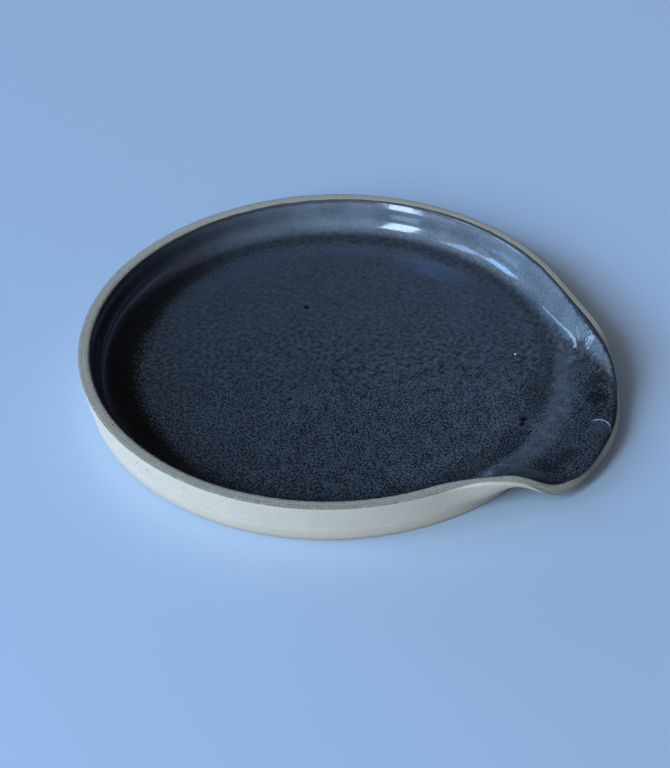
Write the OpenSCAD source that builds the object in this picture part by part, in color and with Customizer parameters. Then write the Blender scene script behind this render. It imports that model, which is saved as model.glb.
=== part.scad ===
// Spoon rest: a low thrown stoneware dish, with a lip pulled out of its wall where the
// spoon's handle lies. The clay body is raw outside and on the rim, and a glaze lines it.
// The origin is the middle of the flat foot, +Z is up and the lip points along +X.

/* [Dish] */
// Diameter over the outside of the rim
rim_d = 130; // [100:1:180]
// Height of the rim's top above the table
height = 12.5; // [10:0.5:20]
// Width of the rim's flat top, which is also the lip's thickness
rim_w = 3; // [2:0.1:5]
// Radius of the rim's two edges
rim_round = 0.6; // [0.2:0.1:0.9]
// How far the wall flares out from its foot to the rim
wall_flare = 2.2; // [0.5:0.1:8]
// Width of the curve between the flat floor and the foot of the wall
curve_w = 8.8; // [5:0.1:20]
// Thickness of the clay floor
floor_t = 3.6; // [2.5:0.1:5]

/* [Foot] */
// Height of the bevel trimmed round the foot
bevel_h = 1.2; // [0.4:0.1:2]
// Depth of that bevel, from the wall in to the flat foot
bevel_w = 0.7; // [0.3:0.1:2]

/* [Lip] */
// How far the lip reaches out past the rim
lip_reach = 12.9; // [6:0.1:20]
// Gap between the table and the lip's lowest edge
lip_gap = 3.2; // [2.5:0.1:6]
// Angle round the dish from the lip's middle to its end on the left
lip_left = 60; // [40:0.5:70]
// Angle round the dish from the lip's middle to its end on the right
lip_right = 36.5; // [30:0.5:60]
// Outward turn of the rim's top at the middle of the lip
lip_turn = 78; // [60:1:88]
// Outward lean of the folded wall there, from upright
lip_fold = 88; // [70:1:90]

/* [Glaze] */
// Thickness of the glaze on the floor and wall
glaze_t = 0.5; // [0.3:0.1:1]
// Thickness of the glaze where it ends at the rim
glaze_edge_t = 0.15; // [0.1:0.05:0.3]

/* [Hidden] */

// Angle between two stations round the lip, and round the plain part of the dish
lip_step = 1.5;
plain_step = 5;
// Steps along the inner curve, the outer curve and each rounded edge of the rim
inner_steps = 14;
outer_steps = 6;
edge_steps = 3;

// Part of each side of the lip over which the rim reaches out, lies low and stays turned
reach_flat_share = 0.01;
low_flat_share = 0.21;
turn_flat_share = 0.3;
// Part of each side of the lip beyond which the rim is at full height, and upright again
low_end_share = 0.55;
turn_end_share = 0.7;
// Fullness of the inner curve where it leaves the floor, and where it meets the rim
floor_curve_share = 0.6;
rim_curve_share = 0.55;
// Fullness of the outer curve above the bevel, and where it meets the rim
foot_curve_share = 0.4;
outer_curve_share = 0.6;
// Place along the inner curve where the glaze begins to thin
glaze_thin_share = 0.7;

rim_r = rim_d / 2;
wall_foot_r = rim_r - wall_flare;
foot_r = wall_foot_r - bevel_w;
floor_r = wall_foot_r - curve_w;
// Length of the plain inner curve, measured level
wall_run = rim_r - rim_w - floor_r;
// Lean of the plain wall from upright
wall_lean = atan(wall_flare / (height - bevel_h));
// How far the middle of the rim's top drops at the middle of the lip
lip_drop = height - lip_gap - rim_w / 2 * sin(lip_turn);
// Clay left below the table's level before the foot is cut flat
waste_h = bevel_h / 2;

// Angles of the stations, anticlockwise from the lip's right end: the lip, then the rest
lip_angle = lip_left + lip_right;
plain_angle = 360 - lip_angle;
lip_stations = ceil(lip_angle / lip_step);
plain_stations = ceil(plain_angle / plain_step);
stations = concat(
    [for (i = [0:lip_stations]) lip_angle * i / lip_stations - lip_right],
    [for (i = [1:plain_stations - 1]) lip_left + plain_angle * i / plain_stations]);

// Smooth step from 0 to 1 that starts and ends without a bend
function ease(x) = let (s = max(0, min(1, x))) s * s * s * (s * (6 * s - 15) + 10);

// Weight at an angle from the lip's middle: 1 over the flat share of its side, 0 past the end
function lip_weight(angle, flat_share, end_share) =
    let (side = angle > 0 ? lip_left : lip_right)
    ease((side * end_share - abs(angle)) / (side * (end_share - flat_share)));
function low_weight(angle) = lip_weight(angle, low_flat_share, low_end_share);
function turn_weight(angle) = lip_weight(angle, turn_flat_share, turn_end_share);

// Direction in the section plane that leans outward from upright by an angle
function leaning(angle) = [sin(angle), cos(angle)];

// Point of a cubic curve at share s, and the direction of the curve there
function curve_point(c, s) =
    let (r = 1 - s)
    r * r * r * c[0] + 3 * r * r * s * c[1] + 3 * r * s * s * c[2] + s * s * s * c[3];
function curve_slope(c, s) =
    let (r = 1 - s, d = r * r * (c[1] - c[0]) + 2 * r * s * (c[2] - c[1]) + s * s * (c[3] - c[2]))
    d / norm(d);

// Points of a rounded corner from a to b
function rounded_corner(a, corner, b) =
    [for (i = [0:edge_steps])
        let (s = i / edge_steps, r = 1 - s)
        r * r * a + 2 * r * s * corner + s * s * b];

// Direction across the rim's top and direction up the wall, at an angle round the dish
function rim_turn(angle) = lip_turn * turn_weight(angle);
function rim_across(angle) = [cos(rim_turn(angle)), -sin(rim_turn(angle))];
function rim_wall(angle) = leaning(wall_lean + (lip_fold - wall_lean) * turn_weight(angle));

// Middle of the rim's top. Where the rim turns before it drops, its inner edge stays level.
function rim_middle(angle) =
    [rim_r - rim_w / 2 + lip_reach * lip_weight(angle, reach_flat_share, 1),
     height - lip_drop * low_weight(angle)
         - rim_w / 2 * sin(rim_turn(angle)) * (1 - low_weight(angle))];
function rim_inner(angle) = rim_middle(angle) - rim_w / 2 * rim_across(angle);
function rim_outer(angle) = rim_middle(angle) + rim_w / 2 * rim_across(angle);

// Curve of the clay's inside, from the edge of the flat floor to the rim's inner edge
function inner_curve(angle) =
    let (start = [floor_r, floor_t],
         end = rim_inner(angle) - rim_round * rim_wall(angle),
         fullness = rim_curve_share * ((end - start) * rim_wall(angle)))
    [start, start + [wall_run * floor_curve_share, 0], end - fullness * rim_wall(angle), end];
function inner_points(angle) =
    let (c = inner_curve(angle))
    [for (i = [0:inner_steps]) curve_point(c, i / inner_steps)];

// Curve of the clay's outside, from the top of the bevel to the rim's outer edge
function outer_curve(angle) =
    let (start = [wall_foot_r, bevel_h],
         end = rim_outer(angle) - rim_round * rim_wall(angle),
         rise = foot_curve_share * (end[1] - start[1]),
         fullness = outer_curve_share * ((end - start) * rim_wall(angle)))
    [start, start + rise * leaning(wall_lean), end - fullness * rim_wall(angle), end];
function outer_points(angle) =
    let (c = outer_curve(angle))
    [for (i = [outer_steps - 1:-1:0]) curve_point(c, i / outer_steps)];

// The rim's top between the two curves, with both its edges rounded
function rim_points(angle) =
    let (wall = rim_round * rim_wall(angle), across = rim_round * rim_across(angle),
         inner = rim_inner(angle), outer = rim_outer(angle),
         inner_edge = rounded_corner(inner - wall, inner, inner + across),
         outer_edge = rounded_corner(outer - across, outer, outer - wall))
    concat([for (i = [1:edge_steps]) inner_edge[i]], outer_edge);

// Thickness of the glaze at share s of the inner curve, and the points of its free face
function glaze_depth(s) =
    glaze_t - (glaze_t - glaze_edge_t) * ease((s - glaze_thin_share) / (1 - glaze_thin_share));
function glaze_points(angle) =
    let (c = inner_curve(angle))
    [for (i = [0:inner_steps])
        let (s = i / inner_steps, d = curve_slope(c, s))
        curve_point(c, s) + glaze_depth(s) * [-d[1], d[0]]];

// Section of each piece at an angle round the dish, from the axis out and back to the axis
function clay_section(angle) =
    concat([[0, floor_t]], inner_points(angle), rim_points(angle), outer_points(angle),
           [[foot_r - bevel_w * waste_h / bevel_h, -waste_h], [0, -waste_h]]);
function glaze_section(angle) =
    let (seat = inner_points(angle))
    concat([[0, floor_t + glaze_t]], glaze_points(angle),
           [for (i = [inner_steps:-1:0]) seat[i]], [[0, floor_t]]);

// Section point set at an angle round the dish
function around(point, angle) = [point[0] * cos(angle), point[0] * sin(angle), point[1]];

// Closed skin over the sections at all stations. The first and last point of each section
// lie on the axis, so each of the two is held once, as the middle of a fan of triangles.
module skin_over(sections) {
    last = len(sections) - 1;
    count = len(sections[0]) - 2;
    points = concat(
        [around(sections[0][0], 0), around(sections[0][count + 1], 0)],
        [for (i = [0:last]) for (j = [1:count]) around(sections[i][j], stations[i])]);
    function at(i, j) = 2 + i % (last + 1) * count + j;
    wall = [for (i = [0:last]) for (j = [0:count - 2]) each [
        [at(i, j), at(i + 1, j + 1), at(i, j + 1)],
        [at(i, j), at(i + 1, j), at(i + 1, j + 1)]]];
    fans = [for (i = [0:last]) each [
        [0, at(i + 1, 0), at(i, 0)],
        [1, at(i, count - 1), at(i + 1, count - 1)]]];
    polyhedron(points, concat(wall, fans));
}

// Thrown body: foot, floor, wall, rim and pulled lip in one piece of raw clay, cut flat below
module clay_body() {
    color([0.78, 0.79, 0.76]) difference() {
        skin_over([for (angle = stations) clay_section(angle)]);
        translate([-rim_d, -rim_d, -height]) cube([2 * rim_d, 2 * rim_d, height]);
    }
}

// Glaze on the floor and the inside of the wall, up to the inner edge of the rim
module glaze_lining() {
    color([0.16, 0.21, 0.28]) skin_over([for (angle = stations) glaze_section(angle)]);
}

clay_body();
glaze_lining();
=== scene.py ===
import math
from functools import reduce

import bpy
from mathutils import Matrix, Vector


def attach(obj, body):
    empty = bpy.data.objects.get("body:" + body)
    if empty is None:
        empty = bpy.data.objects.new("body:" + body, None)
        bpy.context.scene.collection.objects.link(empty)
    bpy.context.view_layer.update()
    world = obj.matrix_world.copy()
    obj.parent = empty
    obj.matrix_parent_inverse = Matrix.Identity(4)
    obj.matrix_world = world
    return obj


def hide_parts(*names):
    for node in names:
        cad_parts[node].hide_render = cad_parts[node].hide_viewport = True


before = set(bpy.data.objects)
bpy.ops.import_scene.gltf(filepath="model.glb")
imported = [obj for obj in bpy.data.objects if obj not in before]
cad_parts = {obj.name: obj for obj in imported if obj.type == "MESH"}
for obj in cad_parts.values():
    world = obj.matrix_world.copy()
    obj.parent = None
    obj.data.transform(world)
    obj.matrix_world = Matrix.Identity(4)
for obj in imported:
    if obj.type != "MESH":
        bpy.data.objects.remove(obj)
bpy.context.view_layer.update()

# All lengths below are in metres: a number times MM is a length in millimetres.
MM = 0.001
DEGREE = math.pi / 180

# Sizes of the dish, as they were thrown, trimmed and glazed
SIZES = {
    "Rim diameter": 130 * MM,
    "Height": 12.5 * MM,
    "Rim width": 3 * MM,
    "Rim rounding": 0.6 * MM,
    "Wall flare": 2.2 * MM,
    "Curve width": 8.8 * MM,
    "Floor thickness": 3.6 * MM,
    "Bevel height": 1.2 * MM,
    "Bevel width": 0.7 * MM,
    "Lip reach": 12.9 * MM,
    "Lip gap": 3.2 * MM,
    "Lip left": 60 * DEGREE,
    "Lip right": 36.5 * DEGREE,
    "Lip turn": 78 * DEGREE,
    "Lip fold": 88 * DEGREE,
    "Glaze thickness": 0.5 * MM,
    "Glaze edge": 0.15 * MM,
    "Glaze roll": 0.3 * MM,
    "Hand wobble": 0.12 * MM,
    "Seed": 4.0,
}
# Share of each side of the lip up to which the rim reaches out, lies low and stays turned,
# and the share past which it does none of it
REACH_SHARES = (0.01, 1.0)
LOW_SHARES = (0.21, 0.55)
TURN_SHARES = (0.3, 0.7)
# Fullness of the inside curve at the floor and the rim, and of the outside one at the bevel
# and the rim
INSIDE_FULLNESS = (0.6, 0.55)
OUTSIDE_FULLNESS = (0.4, 0.6)
# Length of the rim's rounding for a radius of 1
ROUNDING_LENGTH = 1.62
# Stations round the dish at which its section is drawn
STATIONS = 640

# Pinholes in the glaze: place on the floor, radius and depth
PINHOLES = (
    ((-19.1 * MM, 16.8 * MM), 0.95 * MM, 0.35 * MM),
    ((-1.5 * MM, -17.4 * MM), 0.60 * MM, 0.25 * MM),
    ((52.7 * MM, 6.8 * MM), 1.25 * MM, 0.17 * MM),
    ((53.3 * MM, 4.9 * MM), 0.90 * MM, 0.12 * MM),
    ((1.5 * MM, -6.6 * MM), 0.40 * MM, 0.18 * MM),
    ((7.8 * MM, 20.5 * MM), 0.35 * MM, 0.15 * MM),
)
# Middle and radius of the drip's arc, where two coats of glaze meet in the lip
DRIP = (71.6 * MM, 10.7 * MM)
DRIP_RADIUS = 3.0 * MM
# Dark patches in the lip's trough: middle, width and strength
TROUGHS = (
    ((62.5 * MM, 24.5 * MM), 3.2 * MM, 0.8),
    ((66.0 * MM, 20.5 * MM), 3.0 * MM, 0.9),
    ((68.3 * MM, 15.5 * MM), 2.6 * MM, 0.75),
    ((70.0 * MM, -2.0 * MM), 3.4 * MM, 0.6),
    ((67.8 * MM, -8.9 * MM), 4.4 * MM, 0.9),
)
# Pale spots in the glaze, one on the floor and one by the rim: middle, radius and colour
PALE_SPOTS = (
    ((38.0 * MM, 28.2 * MM, 4.1 * MM), 0.36 * MM, (225, 232, 235)),
    ((67.0 * MM, -17.0 * MM, 9.3 * MM), 0.5 * MM, (194, 195, 190)),
)
# Iron specks in the clay of the wall and the rim: middle and radius
CLAY_SPECKS = (
    ((-15.9 * MM, -62.4 * MM, 9.3 * MM), 0.33 * MM),
    ((-12.3 * MM, -63.2 * MM, 9.3 * MM), 0.42 * MM),
    ((-15.3 * MM, -61.9 * MM, 6.3 * MM), 0.36 * MM),
    ((-0.6 * MM, -64.5 * MM, 10.0 * MM), 0.3 * MM),
    ((-55.0 * MM, -32.5 * MM, 12.5 * MM), 0.35 * MM),
    ((-27.1 * MM, -57.0 * MM, 12.5 * MM), 0.45 * MM),
)
# Dents in the rim: middle, width and depth
DENTS = (
    ((-33.2 * MM, -55.3 * MM, 12.2 * MM), 0.7 * MM, 0.16 * MM),
    ((-39.0 * MM, -51.8 * MM, 12.2 * MM), 0.9 * MM, 0.112 * MM),
)
# Depth of the throwing grooves, the rim's crown, the groove round the floor, the ridge on
# the wall, the drip, and each layer of orange peel
RIM_GROOVE = 0.032 * MM
RIM_CROWN = 0.09 * MM
FLOOR_GROOVE = 0.2 * MM
WALL_RIDGE = 0.09 * MM
DRIP_HEIGHT = 0.14 * MM
PEEL = 0.035 * MM

# The finishes change slowly along two fixed directions on the dish: rightward, which is
# this one and points to the lip's left side, and away, which is square to it
RIGHTWARD = (0.829, 0.559)

# Soft lights: angle round the dish, angle above the table, width, height, power and colour
WINDOWS = {
    "window_white": (-93.5, 34.0, 0.27, 0.70, 14.8, (0.475, 0.672, 1.0)),
    "window_blue": (-131.0, 39.0, 0.25, 0.44, 3.5, (0.32, 0.50, 1.0)),
    "window_low": (-148.5, 26.0, 0.34, 0.34, 5.3, (0.26, 0.54, 1.0)),
    "window_left": (-179.0, 17.0, 0.20, 0.09, 0.35, (0.42, 0.64, 1.0)),
    "window_far": (172.5, 10.5, 0.44, 0.24, 2.5, (0.42, 0.64, 1.0)),
}
WINDOW_DISTANCE = 1.2


class Flow:
    """A number or a place that runs through a node tree. Sums on it add nodes to the tree."""

    def __init__(self, tree, socket):
        self.tree, self.socket = tree, socket

    def __add__(self, other):
        return reckon(self.tree, "ADD", self, other)

    def __radd__(self, other):
        return reckon(self.tree, "ADD", other, self)

    def __sub__(self, other):
        return reckon(self.tree, "SUBTRACT", self, other)

    def __rsub__(self, other):
        return reckon(self.tree, "SUBTRACT", other, self)

    def __mul__(self, other):
        return reckon(self.tree, "MULTIPLY", self, other)

    def __rmul__(self, other):
        return reckon(self.tree, "MULTIPLY", other, self)

    def __truediv__(self, other):
        return reckon(self.tree, "DIVIDE", self, other)

    def __neg__(self):
        return self * -1.0

    def __abs__(self):
        return reckon(self.tree, "ABSOLUTE", self)


def is_place(value):
    if isinstance(value, Flow):
        return value.socket.type == "VECTOR"
    return isinstance(value, (tuple, list))


def feed(tree, value, socket):
    """Give a socket a value: a flow is linked, anything else is typed in."""
    if isinstance(value, Flow):
        tree.links.new(value.socket, socket)
    else:
        socket.default_value = value


def add(tree, kind, inputs=(), **settings):
    """New node with its settings made and its inputs fed, by socket name or number."""
    node = tree.nodes.new(kind)
    for name, setting in settings.items():
        setattr(node, name, setting)
    for name, value in dict(inputs).items():
        feed(tree, value, node.inputs[name])
    return node


def reckon(tree, operation, *values):
    """A sum on numbers or places. A place times a number is a longer or shorter place."""
    places = [is_place(value) for value in values]
    if operation == "MULTIPLY" and any(places) and not all(places):
        place, factor = values if places[0] else reversed(values)
        node = add(tree, "ShaderNodeVectorMath", {0: place, "Scale": factor},
                   operation="SCALE")
        return Flow(tree, node.outputs[0])
    kind = "ShaderNodeVectorMath" if any(places) else "ShaderNodeMath"
    node = add(tree, kind, dict(enumerate(values)), operation=operation)
    answer = 1 if operation in ("DOT_PRODUCT", "LENGTH", "DISTANCE") else 0
    return Flow(tree, node.outputs[answer])


def sine(value):
    return reckon(value.tree, "SINE", value)


def cosine(value):
    return reckon(value.tree, "COSINE", value)


def lesser(value, other):
    return reckon(value.tree, "MINIMUM", value, other)


def greater(value, other):
    return reckon(value.tree, "MAXIMUM", value, other)


def span(value, low, high, first=0.0, last=1.0, steps="SMOOTHSTEP"):
    """Value's way from low to high, told as a share of the way from first to last."""
    node = add(value.tree, "ShaderNodeMapRange",
               {"Value": value, "From Min": low, "From Max": high,
                "To Min": first, "To Max": last}, interpolation_type=steps, clamp=True)
    return Flow(value.tree, node.outputs["Result"])


def ease(value):
    """Smooth step from 0 to 1 that starts and ends without a bend."""
    return span(value, 0.0, 1.0, steps="SMOOTHERSTEP")


def within(value, start, full, full_end, end):
    """1 from full to full_end, and 0 before start and past end."""
    return span(value, start, full) * span(value, end, full_end)


def hump(value, middle, width):
    """1 at the middle, falling off to nothing a few widths away."""
    off = (value - middle) / width
    return reckon(value.tree, "EXPONENT", -(off * off))


def place_of(tree, x=0.0, y=0.0, z=0.0):
    node = add(tree, "ShaderNodeCombineXYZ", {"X": x, "Y": y, "Z": z})
    return Flow(tree, node.outputs[0])


def sides_of(place):
    node = add(place.tree, "ShaderNodeSeparateXYZ", {0: place})
    return [Flow(place.tree, output) for output in node.outputs]


def level_from(here, spot):
    """Level step to a place from the point over a spot."""
    return (here - place_of(here.tree, *spot)) * place_of(here.tree, 1.0, 1.0)


def gap_from(here, spot):
    """How far a place is from the point over a spot, measured level."""
    return reckon(here.tree, "LENGTH", level_from(here, spot))


def angle_of(place):
    """Angle round the dish, from the lip's middle to its left."""
    x, y, _ = sides_of(place)
    return reckon(place.tree, "ARCTAN2", y, x)


def lines_of(place):
    """How far rightward and how far away a place lies from the middle of the dish."""
    x, y, _ = sides_of(place)
    return x * RIGHTWARD[0] + y * RIGHTWARD[1], y * RIGHTWARD[0] - x * RIGHTWARD[1]


def noise(place, scale, detail=2.0, roughness=0.5, seed=0.0):
    """Smooth noise between 0 and 1, with scale in waves per metre."""
    node = add(place.tree, "ShaderNodeTexNoise",
               {"Vector": place, "W": seed, "Scale": scale, "Detail": detail,
                "Roughness": roughness}, noise_dimensions="4D")
    return Flow(place.tree, node.outputs[0])


# ---------------------------------------------------------------- camera

def stand_camera():
    """Camera at the photograph's angle: its place, what it aims at, and its small roll."""
    stand = Vector((270.114, -400.461, 391.241)) * MM
    aim = Vector((2.156, -2.3, 0.0)) * MM
    roll = -1.4969 * DEGREE
    data = bpy.data.cameras.new("photo_camera")
    data.sensor_width = 36.0
    data.lens = 112.5
    camera = bpy.data.objects.new("photo_camera", data)
    bpy.context.scene.collection.objects.link(camera)
    look = (aim - stand).to_track_quat("-Z", "Y").to_matrix()
    turn = look @ Matrix.Rotation(roll, 3, "Z")
    camera.matrix_world = Matrix.Translation(stand) @ turn.to_4x4()
    bpy.context.scene.camera = camera


# ---------------------------------------------------------------- the dish's form

class Section:
    """Section of the dish at each angle, as fields on a grid whose X runs round the dish,
    from the side away from the lip, and whose Y runs along one band of the section."""

    def __init__(self, tree):
        self.tree = tree
        given = tree.nodes.new("NodeGroupInput")
        size = {name: Flow(tree, given.outputs[name]) for name in SIZES}
        self.size = size
        here = Flow(tree, tree.nodes.new("GeometryNodeInputPosition").outputs[0])
        x, y, _ = sides_of(here)
        self.angle = x * (-2 * math.pi)
        self.share = y + 0.5
        self.here = here

        rim_r = size["Rim diameter"] / 2.0
        wall_foot_r = rim_r - size["Wall flare"]
        self.foot_r = wall_foot_r - size["Bevel width"]
        self.floor_r = wall_foot_r - size["Curve width"]
        wall_run = rim_r - size["Rim width"] - self.floor_r
        wall_lean = reckon(tree, "ARCTAN2", size["Wall flare"],
                           size["Height"] - size["Bevel height"])
        half_rim = size["Rim width"] / 2.0
        lip_drop = size["Height"] - size["Lip gap"] - half_rim * sine(size["Lip turn"])

        on_left = reckon(tree, "GREATER_THAN", self.angle, 0.0)
        side = size["Lip right"] + (size["Lip left"] - size["Lip right"]) * on_left
        self.aside = abs(self.angle) / side
        reach = self.lip_weight(*REACH_SHARES)
        low = self.lip_weight(*LOW_SHARES)
        turned = self.lip_weight(*TURN_SHARES)

        turn = size["Lip turn"] * turned
        lean = wall_lean + (size["Lip fold"] - wall_lean) * turned
        self.across = place_of(tree, cosine(turn), 0.0, -sine(turn))
        self.off_rim = place_of(tree, sine(turn), 0.0, cosine(turn))
        self.up_wall = place_of(tree, sine(lean), 0.0, cosine(lean))
        up_plain = place_of(tree, sine(wall_lean), 0.0, cosine(wall_lean))
        middle = place_of(
            tree, rim_r - half_rim + size["Lip reach"] * reach, 0.0,
            size["Height"] - lip_drop * low - half_rim * sine(turn) * (1.0 - low))
        self.inner = middle - self.across * half_rim
        self.outer = middle + self.across * half_rim
        self.edge_up = self.up_wall * size["Rim rounding"]
        self.edge_across = self.across * size["Rim rounding"]

        at_floor, at_rim = INSIDE_FULLNESS
        start = place_of(tree, self.floor_r, 0.0, size["Floor thickness"])
        end = self.inner - self.edge_up
        fullness = reckon(tree, "DOT_PRODUCT", end - start, self.up_wall) * at_rim
        self.inside = (start, start + place_of(tree, wall_run * at_floor),
                       end - self.up_wall * fullness, end)

        at_bevel, at_rim = OUTSIDE_FULLNESS
        start = place_of(tree, wall_foot_r, 0.0, size["Bevel height"])
        end = self.outer - self.edge_up
        _, _, rise = sides_of(end - start)
        fullness = reckon(tree, "DOT_PRODUCT", end - start, self.up_wall) * at_rim
        self.outside = (start, start + up_plain * (rise * at_bevel),
                        end - self.up_wall * fullness, end)

    def lip_weight(self, flat, end):
        """1 over the flat share of each side of the lip, 0 past the end share."""
        return ease((end - self.aside) / (end - flat))

    def along(self, curve, share):
        """Place on a cubic curve at a share of its length."""
        rest = 1.0 - share
        return (curve[0] * (rest * rest * rest) + curve[1] * (rest * rest * share * 3.0)
                + curve[2] * (rest * share * share * 3.0) + curve[3] * (share * share * share))

    def facing(self, curve, share):
        """Direction square to a cubic curve, towards the inside of the dish."""
        rest = 1.0 - share
        run = ((curve[1] - curve[0]) * (rest * rest)
               + (curve[2] - curve[1]) * (rest * share * 2.0)
               + (curve[3] - curve[2]) * (share * share))
        x, _, z = sides_of(reckon(self.tree, "NORMALIZE", run))
        return place_of(self.tree, -z, 0.0, x)

    def corner(self, first, middle, last):
        """Place on a rounded corner from first to last."""
        share = self.share
        rest = 1.0 - share
        return first * (rest * rest) + middle * (rest * share * 2.0) + last * (share * share)

    def straight(self, first, last):
        """Place on a straight line from first to last."""
        return first + (last - first) * self.share

    def band(self, steps, section_place, first, last, to_end=0.0):
        """One band right round the dish. Its place along the section runs from first to
        last and is kept with each point, for the relief and for the finish, and so is the
        length of glaze from there to the glaze's end."""
        tree = self.tree
        grid = add(tree, "GeometryNodeMeshGrid",
                   {"Size X": 1.0, "Size Y": 1.0, "Vertices X": STATIONS + 1,
                    "Vertices Y": steps + 1})
        band = keep(Flow(tree, grid.outputs["Mesh"]), "place",
                    first + (last - first) * self.share)
        band = keep(band, "to_end", to_end)
        turned = add(tree, "ShaderNodeVectorRotate",
                     {"Vector": section_place, "Angle": self.angle}, rotation_type="Z_AXIS")
        placed = add(tree, "GeometryNodeSetPosition",
                     {"Geometry": band, "Position": Flow(tree, turned.outputs[0])})
        return Flow(tree, placed.outputs[0])


def form_tree(name, bands, relief, material):
    """Node tree that sews a piece's bands into one closed skin, gives it its relief and
    its finish, and takes every size by name."""
    tree = bpy.data.node_groups.new(name, "GeometryNodeTree")
    tree.interface.new_socket("Geometry", in_out="OUTPUT", socket_type="NodeSocketGeometry")
    for label, value in SIZES.items():
        socket = tree.interface.new_socket(label, in_out="INPUT",
                                           socket_type="NodeSocketFloat")
        socket.default_value = value
    section = Section(tree)
    join = tree.nodes.new("GeometryNodeJoinGeometry")
    for band in reversed(bands(section)):
        tree.links.new(band.socket, join.inputs[0])
    skin = add(tree, "GeometryNodeMergeByDistance",
               {"Geometry": Flow(tree, join.outputs[0]), "Distance": 0.002 * MM})
    skin = relief(section, Flow(tree, skin.outputs[0]))
    smooth = add(tree, "GeometryNodeSetShadeSmooth", {"Geometry": skin, "Shade Smooth": True})
    real = add(tree, "GeometryNodeRealizeInstances", {0: Flow(tree, smooth.outputs[0])})
    done = add(tree, "GeometryNodeSetMaterial",
               {"Geometry": Flow(tree, real.outputs[0]), "Material": material})
    output = tree.nodes.new("NodeGroupOutput")
    tree.links.new(done.outputs[0], output.inputs[0])
    return tree


def kept(tree, name):
    """A number kept with each point of the skin."""
    node = add(tree, "GeometryNodeInputNamedAttribute", {"Name": name}, data_type="FLOAT")
    return Flow(tree, node.outputs[0])


def keep(geometry, name, value):
    """Keep a number with each point of the skin, for the finish to read."""
    node = add(geometry.tree, "GeometryNodeStoreNamedAttribute",
               {"Geometry": geometry, "Name": name, "Value": value},
               data_type="FLOAT", domain="POINT")
    return Flow(geometry.tree, node.outputs[0])


def moved(geometry, offset):
    """The skin with each point moved."""
    node = add(geometry.tree, "GeometryNodeSetPosition",
               {"Geometry": geometry, "Offset": offset})
    return Flow(geometry.tree, node.outputs[0])


def facing_out(tree):
    return Flow(tree, tree.nodes.new("GeometryNodeInputNormal").outputs[0])


def hand_wobble(section):
    """The slow unevenness that a hand leaves in a thrown dish: it grows with height."""
    tree, here = section.tree, section.here
    _, _, z = sides_of(here)
    lift = z / section.size["Height"]
    node = add(tree, "ShaderNodeTexNoise",
               {"Vector": here, "W": section.size["Seed"], "Scale": 16.0, "Detail": 1.0},
               noise_dimensions="4D")
    drift = Flow(tree, node.outputs["Color"])
    away = reckon(tree, "SUBTRACT", drift, (0.5, 0.5, 0.5))
    return away * (lift * section.size["Hand wobble"] * 2.0)


def clay_bands(section):
    """The thrown body: floor, inside, rim, outside, bevel and foot."""
    tree, size = section.tree, section.size
    axis_top = place_of(tree, 0.0, 0.0, size["Floor thickness"])
    axis_foot = place_of(tree)
    bevel_top = section.outside[0]
    bevel_foot = place_of(tree, section.foot_r)
    # The bevel's edges are softened: the upper one takes a share of the curve above it.
    soft, soft_share = 0.25 * MM, 0.03
    down_bevel = reckon(tree, "NORMALIZE", bevel_foot - bevel_top)
    above = section.along(section.outside, 1.0 - section.share * (1.0 - soft_share))
    above_end = section.along(section.outside, as_flow(tree, soft_share))
    bevel_start = bevel_top + down_bevel * soft
    bevel_end = bevel_foot - down_bevel * soft
    foot_start = bevel_foot - place_of(tree, soft)
    inner_foot, outer_edge = section.inner - section.edge_up, section.outer - section.edge_up
    top_in, top_out = (section.inner + section.edge_across,
                       section.outer - section.edge_across)
    return [
        section.band(3, section.straight(axis_top, section.inside[0]), -2.0, -1.0),
        section.band(10, section.along(section.inside, section.share), -1.0, 0.0),
        section.band(7, section.corner(inner_foot, section.inner, top_in), 0.0, 1.0),
        section.band(26, section.straight(top_in, top_out), 1.0, 2.0),
        section.band(8, section.corner(top_out, section.outer, outer_edge), 2.0, 3.0),
        section.band(30, above, 3.0, 4.0),
        section.band(3, section.corner(above_end, bevel_top, bevel_start), 4.0, 4.2),
        section.band(5, section.straight(bevel_start, bevel_end), 4.2, 4.8),
        section.band(3, section.corner(bevel_end, bevel_foot, foot_start), 4.8, 5.0),
        section.band(8, section.straight(foot_start, axis_foot), 5.0, 6.0),
    ]


def as_flow(tree, number):
    """A plain number as a flow."""
    node = tree.nodes.new("ShaderNodeValue")
    node.outputs[0].default_value = number
    return Flow(tree, node.outputs[0])


def clay_relief(section, skin):
    """Throwing grooves on the crowned rim, faint rings on the wall, two dents in the rim, and
    the wobble."""
    tree, here = section.tree, section.here
    seed = section.size["Seed"]
    place = kept(tree, "place")
    wander = (noise(here, 30.0, seed=seed) - 0.5) * 0.5
    fade = noise(here, 45.0, seed=seed + 3.0)
    lane = place + wander
    grooves = (hump(lane, 1.64, 0.13) * 0.8 + hump(lane, 2.2, 0.16) * (fade * 1.8)
               + hump(lane, 1.2, 0.1) * (0.8 - fade * 0.8))
    grooves = grooves * within(place, 0.2, 0.9, 2.3, 2.9)
    skin = keep(skin, "groove", grooves)
    rings = (sine(place * 26.0 + wander * 9.0) * 0.016 + hump(place, 3.86, 0.03) * -0.05) * MM
    rings = rings * within(place, 3.05, 3.3, 3.95, 4.05)
    dents = sum(hump(reckon(tree, "DISTANCE", here, middle), 0.0, wide) * deep
                for middle, wide, deep in DENTS)
    uneven = (noise(here, 110.0, seed=seed) - 0.5) * (0.06 * MM) * span(place, 0.0, 1.0)
    above_foot = span(place, 4.85, 4.3)
    crown = hump(place, 1.45, 0.6) * RIM_CROWN
    height = (crown - grooves * RIM_GROOVE + rings - dents + uneven) * above_foot
    skin = moved(skin, facing_out(tree) * height)
    return moved(skin, hand_wobble(section))


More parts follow.
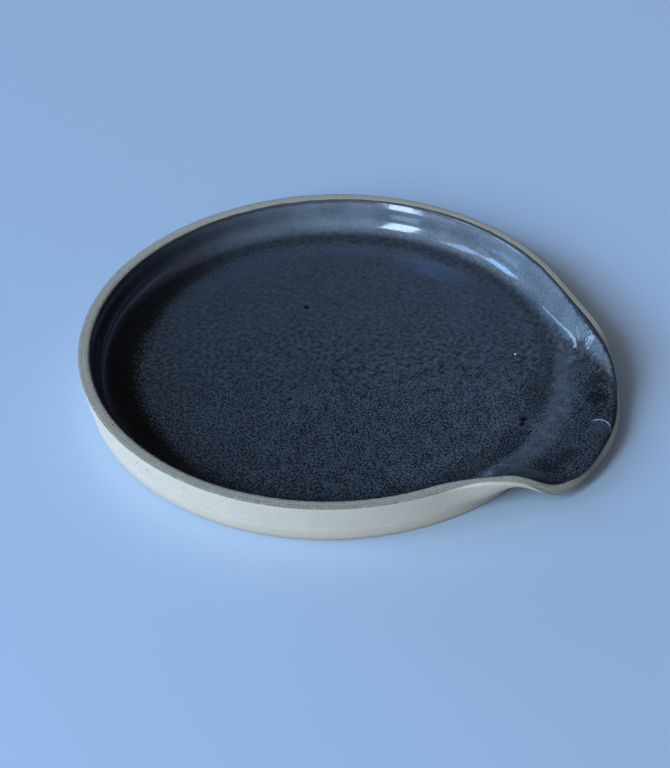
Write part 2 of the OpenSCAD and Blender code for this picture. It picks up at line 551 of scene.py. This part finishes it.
def overrun(section):
    """How far the glaze runs over the rim's inner edge: it was wiped back least along the
    lip's left side and at its tip."""
    angle = section.angle
    left_side = span(angle, 17 * DEGREE, 27 * DEGREE)
    far = (span(angle, 180 * DEGREE, 45 * DEGREE) * 0.75
           + span(angle, 75 * DEGREE, 50 * DEGREE) * 0.3) * left_side
    tip = hump(angle, -2 * DEGREE, 5 * DEGREE) + hump(angle, 10 * DEGREE, 9 * DEGREE) * 0.25
    around = place_of(section.tree, cosine(angle), sine(angle), 0.0)
    ragged = (noise(around, 14.0, 3.0, 0.6, seed=5.0) - 0.5) * 0.5
    return (far + tip + ragged + 0.25) * MM


def over_edge(section, run):
    """Place on the rim's inner edge after a run from the foot of its rounding, and the
    directions away from the clay and onward there."""
    arc = section.size["Rim rounding"] * ROUNDING_LENGTH
    bend = lesser(greater(run / arc, 0.0), 1.0)
    rest = 1.0 - bend
    place = ((section.inner - section.edge_up) * (rest * rest)
             + section.inner * (rest * bend * 2.0)
             + (section.inner + section.edge_across) * (bend * bend)
             + section.across * greater(run - arc, 0.0))
    off_wall = section.facing(section.inside, as_flow(section.tree, 1.0))
    off = reckon(section.tree, "NORMALIZE", off_wall * rest + section.off_rim * bend)
    on = reckon(section.tree, "NORMALIZE", section.up_wall * rest + section.across * bend)
    return place, off, on


def glaze_bands(section):
    """The glaze: its face on floor and wall, the rounded end that it draws back to on the
    rim's edge, and its seat."""
    tree, size, share = section.tree, section.size, section.share
    thick, edge = size["Glaze thickness"], size["Glaze edge"]
    over = overrun(section)
    back_share, wall_length = 0.12, 16 * MM
    whole = over / wall_length + back_share
    fat = hump(section.angle, 97 * DEGREE, 16 * DEGREE) * 0.7 + 1.0

    def depth(gone, roll):
        """Thickness of the glaze, with gone from 0 to 1 over its rounded end."""
        return edge + (thick + roll - edge) * (1.0 - gone * gone)

    roll = size["Glaze roll"] * fat * span(share, 0.64, 0.88)
    gone = greater(share - (1.0 - back_share), 0.0) / whole
    facing = section.facing(section.inside, share)
    face = section.along(section.inside, share) + facing * depth(gone, roll)

    place, off, _ = over_edge(section, over * share)
    gone = (over * share / wall_length + back_share) / whole
    face_over = place + off * depth(gone, size["Glaze roll"] * fat)
    end, off, on = over_edge(section, over)
    face_end = end + off * edge
    bead = face_end + on * (edge * 0.8)
    seat_over, _, _ = over_edge(section, over * (1.0 - share))
    top = place_of(tree, 0.0, 0.0, size["Floor thickness"] + thick)
    floor_edge = place_of(tree, section.floor_r, 0.0, size["Floor thickness"] + thick)
    seat_top = place_of(tree, 0.0, 0.0, size["Floor thickness"])
    back = section.along(section.inside, 1.0 - share)
    return [
        section.band(56, section.straight(top, floor_edge), 0.0, 1.0),
        section.band(52, face, 1.0, 2.0, over + (1.0 - share) * wall_length),
        section.band(7, face_over, 2.0, 2.6, over * (1.0 - share)),
        section.band(3, section.corner(face_end, bead, end), 2.6, 2.8),
        section.band(3, seat_over, 2.8, 3.0),
        section.band(12, back, 3.0, 3.6),
        section.band(3, section.straight(section.inside[0], seat_top), 3.6, 4.0),
    ]


def glaze_relief(section, skin):
    """Pinholes, orange peel, the drip in the lip, the groove round the floor, the ridge on
    the wall, and the clay's wobble below."""
    tree, here = section.tree, section.here
    seed = section.size["Seed"]
    place = kept(tree, "place")
    face = span(place, 2.6, 2.0)
    # The skin is gathered at each pinhole first, so that the small pit has points enough.
    for spot, radius, _ in PINHOLES:
        off = level_from(here, spot)
        far = reckon(tree, "LENGTH", off) / (5.0 * radius)
        near = 1.0 - lesser(far * far, 1.0)
        skin = moved(skin, off * (near * near * -0.72))
    pits, halos, depths = [], [], []
    for spot, radius, deep in PINHOLES:
        away = gap_from(here, spot) / radius
        pit = span(away, 1.15, 0.35)
        pits.append(pit)
        halos.append(span(away, 3.2, 1.6))
        depths.append(pit * deep - hump(away, 1.5, 0.4) * (0.14 * deep))
    skin = keep(skin, "pinhole", reduce(greater, pits) * face)
    skin = keep(skin, "halo", reduce(greater, halos) * face)
    peel = ((noise(here, 260.0, 1.0, seed=seed) - 0.5) * PEEL
            + (noise(here, 90.0, 1.0, seed=seed + 2.0) - 0.5) * PEEL)
    height = (peel + drip_line(here, 0.45 * MM) * DRIP_HEIGHT
              + left_ridge_and_reflection(here, place) * WALL_RIDGE
              - within(place, 0.85, 0.955, 0.975, 1.06) * FLOOR_GROOVE - sum(depths))
    skin = moved(skin, facing_out(tree) * (height * face))
    return moved(skin, hand_wobble(section))


def left_ridge_and_reflection(here, place):
    """Height of a throwing ridge half way up the wall, on the left. The glaze's colour also
    paints a reflection along it.
    """
    rightward, _ = lines_of(here)
    wander = (noise(here, 26.0, 1.0, seed=15.0) - 0.5) * 0.16
    return hump(place + wander, 1.5, 0.03) * span(rightward, -40.0 * MM, -50.0 * MM)


def drip_line(here, wide):
    """Height of the drip: a short arc round its middle, on the lip's left side."""
    x, y, _ = sides_of(here)
    ahead = (y - DRIP[1]) + (x - DRIP[0]) * 0.35
    return hump(gap_from(here, DRIP), DRIP_RADIUS, wide) * span(ahead, 0.2 * MM, 1.6 * MM)


def fire(name, tree):
    """Make the piece from its tree, as a plain mesh at the origin, with no modifier left."""
    piece = bpy.data.objects.new(name, bpy.data.meshes.new(name))
    bpy.context.scene.collection.objects.link(piece)
    maker = piece.modifiers.new("form", "NODES")
    maker.node_group = tree
    for item in tree.interface.items_tree:
        if item.in_out == "INPUT":
            maker[item.identifier] = float(SIZES[item.name])
    ready = bpy.context.evaluated_depsgraph_get()
    mesh = bpy.data.meshes.new_from_object(piece.evaluated_get(ready))
    piece.modifiers.remove(maker)
    piece.data = mesh
    mesh.name = name
    return piece


# ---------------------------------------------------------------- finishes

def paint(red, green, blue):
    """Colour from its usual 0 to 255 numbers."""
    def plain(value):
        value /= 255
        return value / 12.92 if value <= 0.04045 else ((value + 0.055) / 1.055) ** 2.4
    return (plain(red), plain(green), plain(blue), 1.0)


def blend(share, first, last):
    """Colour that goes from first to last as share goes from 0 to 1."""
    tree = share.tree
    node = tree.nodes.new("ShaderNodeMix")
    node.data_type = "RGBA"
    feed(tree, share, node.inputs[0])
    feed(tree, first, node.inputs[6])
    feed(tree, last, node.inputs[7])
    return Flow(tree, node.outputs[2])


def new_finish(name):
    """New material with one glossy shader, and the place of each point on the object."""
    material = bpy.data.materials.new(name)
    material.use_nodes = True
    tree = material.node_tree
    tree.nodes.clear()
    shader = tree.nodes.new("ShaderNodeBsdfPrincipled")
    output = tree.nodes.new("ShaderNodeOutputMaterial")
    tree.links.new(shader.outputs[0], output.inputs["Surface"])
    here = Flow(tree, tree.nodes.new("ShaderNodeTexCoord").outputs["Object"])
    return material, tree, shader, here


def mark(tree, name):
    """A number that the form kept with each point."""
    node = tree.nodes.new("ShaderNodeAttribute")
    node.attribute_name = name
    return Flow(tree, node.outputs["Fac"])


def bump(shader, height, depth):
    """Fine relief, with depth as the rise from a height of 0 to 1."""
    tree = shader.id_data
    node = add(tree, "ShaderNodeBump",
               {"Height": height, "Distance": depth, "Strength": 1.0})
    tree.links.new(node.outputs[0], shader.inputs["Normal"])


def cells(place, scale, seed):
    """Scattered spots, one in each cell: how far the nearest one is, and its own number."""
    node = add(place.tree, "ShaderNodeTexVoronoi",
               {"Vector": place, "Scale": scale, "W": seed}, voronoi_dimensions="4D")
    own, _, _ = sides_of(Flow(place.tree, node.outputs["Color"]))
    return Flow(place.tree, node.outputs["Distance"]), own


def grains(place, scale, detail, roughness):
    """Noise in even grains, laid out as on a level face, with no larger clumps among them."""
    node = add(place.tree, "ShaderNodeTexNoise",
               {"Vector": place, "Scale": scale, "Detail": detail, "Roughness": roughness},
               noise_dimensions="2D")
    return Flow(place.tree, node.outputs[0])


def raw_clay():
    """Bare pale stoneware: fine grain, a wiped greyer rim with throwing grooves and painted light
    on it, a few iron specks, and a darker band of painted shade low on the wall above the bevel."""
    material, tree, shader, here = new_finish("raw_clay")
    place, groove = mark(tree, "place"), mark(tree, "groove")
    grain = noise(here, 2300.0, 3.0, 0.6)
    cloud = noise(here, 130.0, 3.0, 0.55, seed=2.0)
    colour = blend(span(cloud, 0.3, 0.7), paint(219, 202, 173), paint(225, 208, 179))
    colour = blend(span(grain, 0.35, 0.65) * 0.45, colour, paint(197, 182, 157))
    # Painted shade: a darker band low on the wall, just above the bevel
    foot = span(place, 3.78, 3.92)
    colour = blend(foot * 0.55, colour, paint(193, 177, 151))

    # The rim was wiped, and is greyer than the wall and paler on its ridge. It also carries
    # painted light: it is paler on its outer edge on the left, on its far side, towards the
    # right, and most where the lip turns it outward.
    angle = angle_of(here)
    rightward, away = lines_of(here)
    rim = blend(span(grain, 0.35, 0.65), paint(119, 114, 98), paint(170, 161, 138))
    smear = noise(here, 420.0, 2.0, seed=7.0)
    rim = blend(span(smear, 0.35, 0.75) * 0.3, rim, paint(127, 124, 106))
    rim = blend(hump(place, 1.4, 0.22) * 0.35, rim, paint(172, 165, 143))
    # Painted light in the next three blends: the rim is made paler in these places
    outer_edge = span(place, 1.3, 2.1) * span(rightward, -15.0 * MM, -40.0 * MM)
    rim = blend(outer_edge * 0.16, rim, paint(186, 175, 154))
    rim = blend(span(away, 15.0 * MM, 50.0 * MM) * 0.3, rim, paint(190, 181, 158))
    x, y, _ = sides_of(here)
    turned = (span(angle, 44.0 * DEGREE, 32.0 * DEGREE) * span(y, -4.0 * MM, 12.0 * MM)
              * span(x, 50.0 * MM, 60.0 * MM))
    rim = blend(turned * 0.7 + span(rightward, -20.0 * MM, 50.0 * MM) * 0.12,
                rim, paint(190, 184, 160))
    rim = blend(greater(lesser(groove, 1.0), 0.0) * 0.35, rim, paint(113, 105, 92))
    crease = hump(place + (cloud - 0.5) * 0.5, 2.35, 0.2) * span(smear, 0.35, 0.6)
    rim = blend(crease * 0.6, rim, paint(119, 107, 90))
    # The wiped band is narrower on the lip's right side.
    narrow = within(angle, -34.0 * DEGREE, -24.0 * DEGREE, -17.0 * DEGREE, -11.0 * DEGREE)
    on_rim = span(place, 0.0, 0.3) * span(place + narrow * 0.95, 2.9, 2.5)
    colour = blend(on_rim, colour, rim)

    gap, own = cells(here, 210.0, seed=1.0)
    speck = span(gap, 0.085, 0.035) * span(own, 0.90, 0.93)
    for middle, radius in CLAY_SPECKS:
        gap = reckon(tree, "DISTANCE", here, middle)
        speck = greater(speck, span(gap, radius * 1.05, radius * 0.4))
    colour = blend(speck * 0.8, colour, paint(90, 80, 70))
    feed(tree, colour, shader.inputs["Base Color"])
    feed(tree, span(grain, 0.3, 0.7, 0.82, 0.95), shader.inputs["Roughness"])
    shader.inputs["Specular IOR Level"].default_value = 0.25
    fine = noise(here, 1500.0, 3.0, 0.6, seed=3.0)
    bump(shader, fine * 0.8 + noise(here, 420.0, 1.0, seed=5.0), 0.06 * MM)
    return material


class Coat:
    """The glaze's marks, slow changes and noises, which the layers of its colour share.
    Its place runs from 0 to 1 over the floor, and from 1 to 2 up the wall."""

    def __init__(self, tree, here):
        self.tree, self.here = tree, here
        self.place, self.pit, self.halo, self.to_end = (
            mark(tree, name) for name in ("place", "pinhole", "halo", "to_end"))
        self.wall_share = self.place - 1.0
        self.angle = angle_of(here)
        self.rightward, self.away = lines_of(here)
        self.far = span(self.away, -14.0 * MM, 34.0 * MM)
        self.near = span(self.away, 5.0 * MM, -24.0 * MM)
        self.left = span(self.rightward, -20.0 * MM, -48.0 * MM)
        # 1 from the dish's right round to its left, and 0 behind, where angles start
        self.right_side = span(self.angle, -100.0 * DEGREE, -80.0 * DEGREE)
        self.in_lip = span(self.angle, 40.0 * DEGREE, 31.0 * DEGREE) * self.right_side

        self.grain = noise(here, 1500.0, 3.0, 0.6, seed=2.0)
        self.fine = noise(here, 3000.0, 2.0, 0.6, seed=1.0)
        self.even = grains(here, 1700.0, 1.0, 0.5)
        _, self.single = cells(here, 1900.0, seed=5.0)
        self.patchy = noise(here, 120.0, 2.0, seed=4.0)
        self.streak = self.streaks(46.0, 9.0, seed=6.0)
        self.ragged = self.wall_share + (self.streak - 0.5) * 0.12 + (self.grain - 0.5) * 0.16
        # Light crescent in the lip, and the share of the wall at which the blue begins
        self.crescent = within(self.ragged, 0.2, 0.34, 0.5, 0.68) * self.in_lip
        self.line = ((span(self.angle, 52.0 * DEGREE, 40.0 * DEGREE) * 0.2
                      + span(self.angle, 40.0 * DEGREE, 33.0 * DEGREE) * 0.37
                      + span(self.angle, 33.0 * DEGREE, 16.0 * DEGREE) * 0.22)
                     * self.right_side + 0.16 + self.left * 0.14
                     + span(self.angle, 72.0 * DEGREE, 56.0 * DEGREE) * 0.06)

    def streaks(self, around, up, detail=2.0, roughness=0.5, seed=0.0):
        """Noise drawn down the wall, with its waves round the dish and up the wall."""
        place = place_of(self.tree, self.angle * around, self.wall_share * up)
        return noise(place, 1.0, detail, roughness, seed)

    def mottle(self):
        """Navy and blue-grey grains about half a millimetre across, and how light each is.
        They run into coarser, softer ones towards the far side, where the glaze ran more."""
        sharp = ((1.0 - self.far * 0.62) * (1.0 - self.in_lip * span(self.place, 1.0, 1.3) * 0.1)
                 * (1.0 - self.halo * 0.6) * (1.0 - self.crescent * 0.7))
        coarse = grains(self.here, 800.0, 1.0, 0.4)
        tone = ((self.even - 0.5) * (self.near * 0.53 + 0.17)
                + (coarse - 0.5) * (self.near * -0.32 + 0.36)
                + (self.fine - 0.5) * (self.in_lip * 0.2 + self.near * 0.2 + 0.05)
                + (self.single - 0.5) * (self.near * 0.1))
        tone = lesser(greater(tone * sharp * 3.15 + 0.52, 0.0), 1.0)
        tone = reckon(self.tree, "POWER", tone, 1.35)
        blotch = noise(self.here, 400.0, 2.0, seed=12.0)
        tone = tone + (blotch - 0.5) * (self.in_lip * 0.65 + 0.2)
        light = blend(span(self.patchy, 0.3, 0.7), paint(112, 121, 128), paint(120, 129, 136))
        warm = span(noise(self.here, 1200.0, 1.0, seed=9.0), 0.62, 0.76)
        light = blend(warm * (1.0 - self.far) * 0.5, light, paint(118, 107, 96))
        return tone, blend(tone, paint(28, 31, 40), light)

    def painted_shading(self, mottled):
        """The mottle made lighter and darker: with painted light, lighter towards the right and
        the far side across the floor; near black in the ring where the wall leaves it, with
        painted shade deepening the ring on the left; and dark in the lip past the light crescent,
        whose painted brightness changes round the lip."""
        # Painted light: lighter towards the right and the far side
        level = self.rightward * 2.5 + self.away * 1.9 + 0.45
        past = span(self.ragged, 0.5, 0.66) * self.in_lip
        # Painted light: the crescent's brightness changes round the lip
        bright = (span(self.angle, -28.0 * DEGREE, 2.0 * DEGREE, 0.62, 0.74)
                  * span(self.angle, 12.0 * DEGREE, 26.0 * DEGREE, 1.0, 0.84))
        level = level + (bright - level) * self.crescent + (0.38 - level) * past
        start = self.left * -0.075 - self.in_lip * 0.045
        rise = (self.wall_share + (self.streak - 0.5) * 0.04 + (self.grain - 0.5) * 0.26
                + (self.single - 0.5) * 0.03)
        end = self.ragged + self.in_lip * 0.2 - self.left * 0.12
        ring = span(rise - start, -0.035, 0.035) * span(end, 0.46, self.in_lip * 0.2 + 0.16)
        # Painted shade: the ring is darker on the left and a little lighter on the far side
        depth = self.left * 0.56 + 0.42 - self.far * 0.08
        level = level * (1.0 - ring * depth) * (1.0 + self.halo * 0.2)
        return blend(level, paint(0, 0, 0), mottled)

    def painted_reflection_band(self, colour):
        """A smooth paler band on the floor, beside the far part of the ring: a painted
        reflection, palest a quarter turn round from the lip's middle.
        """
        painted_reflection = within(self.place, 0.82, 0.87, 0.95, 0.985) * span(self.away, 22.0 * MM, 40.0 * MM)
        painted_reflection = painted_reflection * span(noise(self.here, 75.0, 2.0, seed=16.0), 0.4, 0.62, 0.35, 1.0)
        pale = hump(self.angle, 90.0 * DEGREE, 17.0 * DEGREE)
        return blend(painted_reflection * (pale * 0.3 + 0.6), colour,
                     blend(pale, paint(54, 66, 80), paint(72, 88, 105)))

    def speckled(self, colour):
        """A few tan specks on the floor, more of them on the right."""
        gap, own = cells(self.here, 950.0, seed=3.0)
        tan = span(gap, 0.22, 0.1) * span(own, 0.86, 0.9)
        tan = tan * span(self.rightward, 5.0 * MM, 50.0 * MM) * span(self.far, 1.0, 0.4)
        return blend(tan * 0.55, colour, paint(122, 113, 100))

    def on_wall(self):
        """1 where the glaze is smooth and blue: on the wall above its line. In the lip it
        narrows to a band along the rim, and it ends near the lip's middle."""
        fade_in = (span(self.angle, 52.0 * DEGREE, 36.0 * DEGREE, 0.42, 0.2)
                   - span(self.angle, 33.0 * DEGREE, 27.0 * DEGREE) * self.right_side * 0.1)
        inmost = span(self.angle, 20.0 * DEGREE, 13.0 * DEGREE) * self.right_side
        return span((self.ragged - self.line) / fade_in, 0.0, 1.0) * (1.0 - inmost)

    def wall(self):
        """Smoother bluer glaze, with dark flecks drawn down it, and painted shade making it near
        black towards the left.
        """
        dark_fleck = paint(43, 52, 63)
        cloudy = self.patchy + (self.streak - 0.5) * 0.4
        wall = blend(span(cloudy, 0.3, 0.7), paint(94, 104, 109), paint(109, 120, 125))
        # Painted shade: near black towards the left
        shade = span(self.rightward, 5.0 * MM, -50.0 * MM)
        wall = blend(shade * 0.88, wall, paint(9, 14, 27))
        fleck = span(self.streaks(60.0, 16.0, 3.0, 0.6, seed=8.0), 0.58, 0.7)
        wall = blend(fleck * 0.45, wall, dark_fleck)
        drawn = (span(self.streaks(55.0, 34.0, 3.0, 0.7, seed=18.0), 0.48, 0.62)
                 * span(self.rightward, -5.0 * MM, 35.0 * MM))
        wall = blend(drawn * span(self.wall_share, 0.95, 0.45, 0.4, 0.7), wall,
                     paint(40, 50, 60))
        return blend(span(self.grain, 0.42, 0.3) * 0.25, wall, dark_fleck)

    def ended(self, colour):
        """A thin dark border at the glaze's end, brown where it is thinnest."""
        torn = self.to_end + (noise(self.here, 700.0, 3.0, 0.6, seed=13.0) - 0.5) * (0.9 * MM)
        wide = within(self.angle, 16.0 * DEGREE, 26.0 * DEGREE, 38.0 * DEGREE, 52.0 * DEGREE)
        edge = (span(torn - wide * (0.5 * MM), 0.85 * MM, 0.5 * MM)
                * span(self.place, 1.5, 1.8) * (1.0 - self.far * 0.35))
        colour = blend(edge * 0.85, colour, paint(27, 30, 36))
        brown = (span(torn, 0.25 * MM, 0.05 * MM) * span(self.place, 1.8, 2.1)
                 * span(self.angle, 6.0 * DEGREE, 22.0 * DEGREE, 0.15, 0.6))
        return blend(brown, colour, paint(78, 66, 54))


def dark_glaze():
    """Dark blue-grey stoneware glaze: a fine mottle of navy grains, a near-black ring where the
    wall leaves the floor, a smoother blue wall, a mottled lip, and pinholes, with painted light,
    shade, reflections and highlights laid over them."""
    material, tree, shader, here = new_finish("dark_glaze")
    coat = Coat(tree, here)
    tone, mottled = coat.mottle()
    on_wall = coat.on_wall()
    colour = blend(on_wall, coat.speckled(coat.painted_reflection_band(coat.painted_shading(mottled))), coat.wall())
    # Painted reflection: a paler streak along the ridge on the dark left wall
    colour = blend(left_ridge_and_reflection(here, coat.place) * 0.75, colour, paint(74, 85, 99))

    for spot, wide, dark in TROUGHS:
        cover = (gap_from(here, spot) / wide + (coat.patchy - 0.5) * 1.2
                 + (coat.grain - 0.5) * 2.6)
        cover = span(cover, 1.3, 0.2) * dark * (1.0 - on_wall) * (1.3 - tone * 0.6)
        colour = blend(cover, colour, paint(14, 17, 24))
    # Painted reflection: a paler patch inside the drip's arc, in the lip
    painted_reflection = span(gap_from(here, DRIP), 3.1 * MM, 0.8 * MM) * coat.in_lip
    colour = blend(painted_reflection * 0.4, colour, paint(66, 80, 95))
    # Painted highlight: a pale line along the drip, which also rises in the bump below
    drip = drip_line(here, 0.2 * MM) * span(coat.place, 1.0, 1.3)
    colour = blend(lesser(drip * 1.1, 1.0), colour, paint(150, 164, 172))
    colour = coat.ended(colour)
    for middle, radius, pale in PALE_SPOTS:
        gap = reckon(tree, "DISTANCE", here, middle)
        colour = blend(span(gap, radius, radius / 2), colour, paint(*pale))
    colour = blend(lesser(coat.pit * 1.3, 1.0), colour, paint(6, 7, 10))

    # Small pits in the blue band by the rim, on the lip's left, where the glaze crinkled
    pitted = (within(coat.angle, 20.0 * DEGREE, 26.0 * DEGREE, 42.0 * DEGREE, 48.0 * DEGREE)
              * span(coat.ragged - coat.line, 0.0, 0.12) * span(coat.wall_share, 0.6, 0.8))
    gap, _ = cells(here, 1150.0, seed=11.0)
    small_pit = span(gap, 0.34, 0.12) * pitted
    crinkle = (noise(here, 620.0, 2.0, 0.6, seed=19.0) - 0.5) * pitted
    colour = blend(small_pit * 0.7, colour, paint(40, 50, 66))
    feed(tree, colour, shader.inputs["Base Color"])
    feed(tree, span(coat.fine, 0.2, 0.8, 0.04, 0.09) + span(coat.place, 1.0, 1.3) * 0.04,
         shader.inputs["Roughness"])
    shader.inputs["IOR"].default_value = 1.5
    bump(shader, coat.even * (1.0 - coat.far * 0.9) - small_pit * 5.0 + crinkle * 11.0
         + drip * 3.0, 0.02 * MM)
    return material


# ---------------------------------------------------------------- floor and light

def lay_table():
    """Pale blue table top, with painted light: its colour grows lighter towards the far side and
    the right.
    """
    reach = 4.0
    mesh = bpy.data.meshes.new("table_top")
    mesh.from_pydata([(-reach, -reach, 0), (reach, -reach, 0), (reach, reach, 0),
                      (-reach, reach, 0)], [], [(0, 1, 2, 3)])
    table = bpy.data.objects.new("table_top", mesh)
    bpy.context.scene.collection.objects.link(table)
    material, tree, shader, here = new_finish("table_blue")
    rightward, away = lines_of(here)
    # Painted light: lighter towards the far side and the right
    colour = blend(span(away + rightward * 1.2, -0.1, 0.42), paint(174, 190, 202),
                   paint(194, 210, 224))
    feed(tree, colour, shader.inputs["Base Color"])
    shader.inputs["Roughness"].default_value = 0.45
    shader.inputs["Specular IOR Level"].default_value = 0.5
    mesh.materials.append(material)


def hang_window(name, turn, rise, wide, tall, power, colour):
    """Soft window light that faces the dish."""
    data = bpy.data.lights.new(name, "AREA")
    data.shape = "RECTANGLE"
    data.size, data.size_y = wide, tall
    data.energy = power
    data.color = colour
    light = bpy.data.objects.new(name, data)
    turn, rise = turn * DEGREE, rise * DEGREE
    stand = Vector((math.cos(turn) * math.cos(rise), math.sin(turn) * math.cos(rise),
                    math.sin(rise))) * WINDOW_DISTANCE
    light.rotation_euler = (-stand).to_track_quat("-Z", "Y").to_euler()
    light.location = stand
    bpy.context.scene.collection.objects.link(light)


def light_room():
    """Five soft panes of daylight, from the dish's right side round to the side away from
    the lip, and a room that is pale behind them and high over the lip, and dark elsewhere."""
    for name, window in WINDOWS.items():
        hang_window(name, *window)
    world = bpy.data.worlds.new("room")
    world.use_nodes = True
    tree = world.node_tree
    sky = tree.nodes["Background"]
    way = Flow(tree, tree.nodes.new("ShaderNodeTexCoord").outputs["Generated"])
    to_window = reckon(tree, "DOT_PRODUCT", way, (-0.36, -0.735, 0.574))
    glow = blend(span(to_window, 0.56, 0.96), (0.042, 0.045, 0.055, 1.0),
                 (0.79, 0.80, 0.78, 1.0))
    to_wall = reckon(tree, "DOT_PRODUCT", way, (0.621, -0.166, 0.766))
    glow = blend(span(to_wall, 0.45, 0.98), glow, (0.26, 0.27, 0.34, 1.0))
    feed(tree, glow, sky.inputs["Color"])
    sky.inputs["Strength"].default_value = 1.0
    bpy.context.scene.world = world


# ---------------------------------------------------------------- the scene

stand_camera()
scene = bpy.context.scene
scene.view_settings.view_transform = "Standard"

dish = fire("thrown_dish", form_tree("thrown_dish_form", clay_bands, clay_relief, raw_clay()))
glaze = fire("glaze_coat", form_tree("glaze_coat_form", glaze_bands, glaze_relief,
                                     dark_glaze()))
for piece, node, slot in ((dish, "clay_body", "raw_clay"),
                          (glaze, "glaze_lining", "dark_glaze")):
    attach(piece, "root")
    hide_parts(node)

lay_table()
light_room()
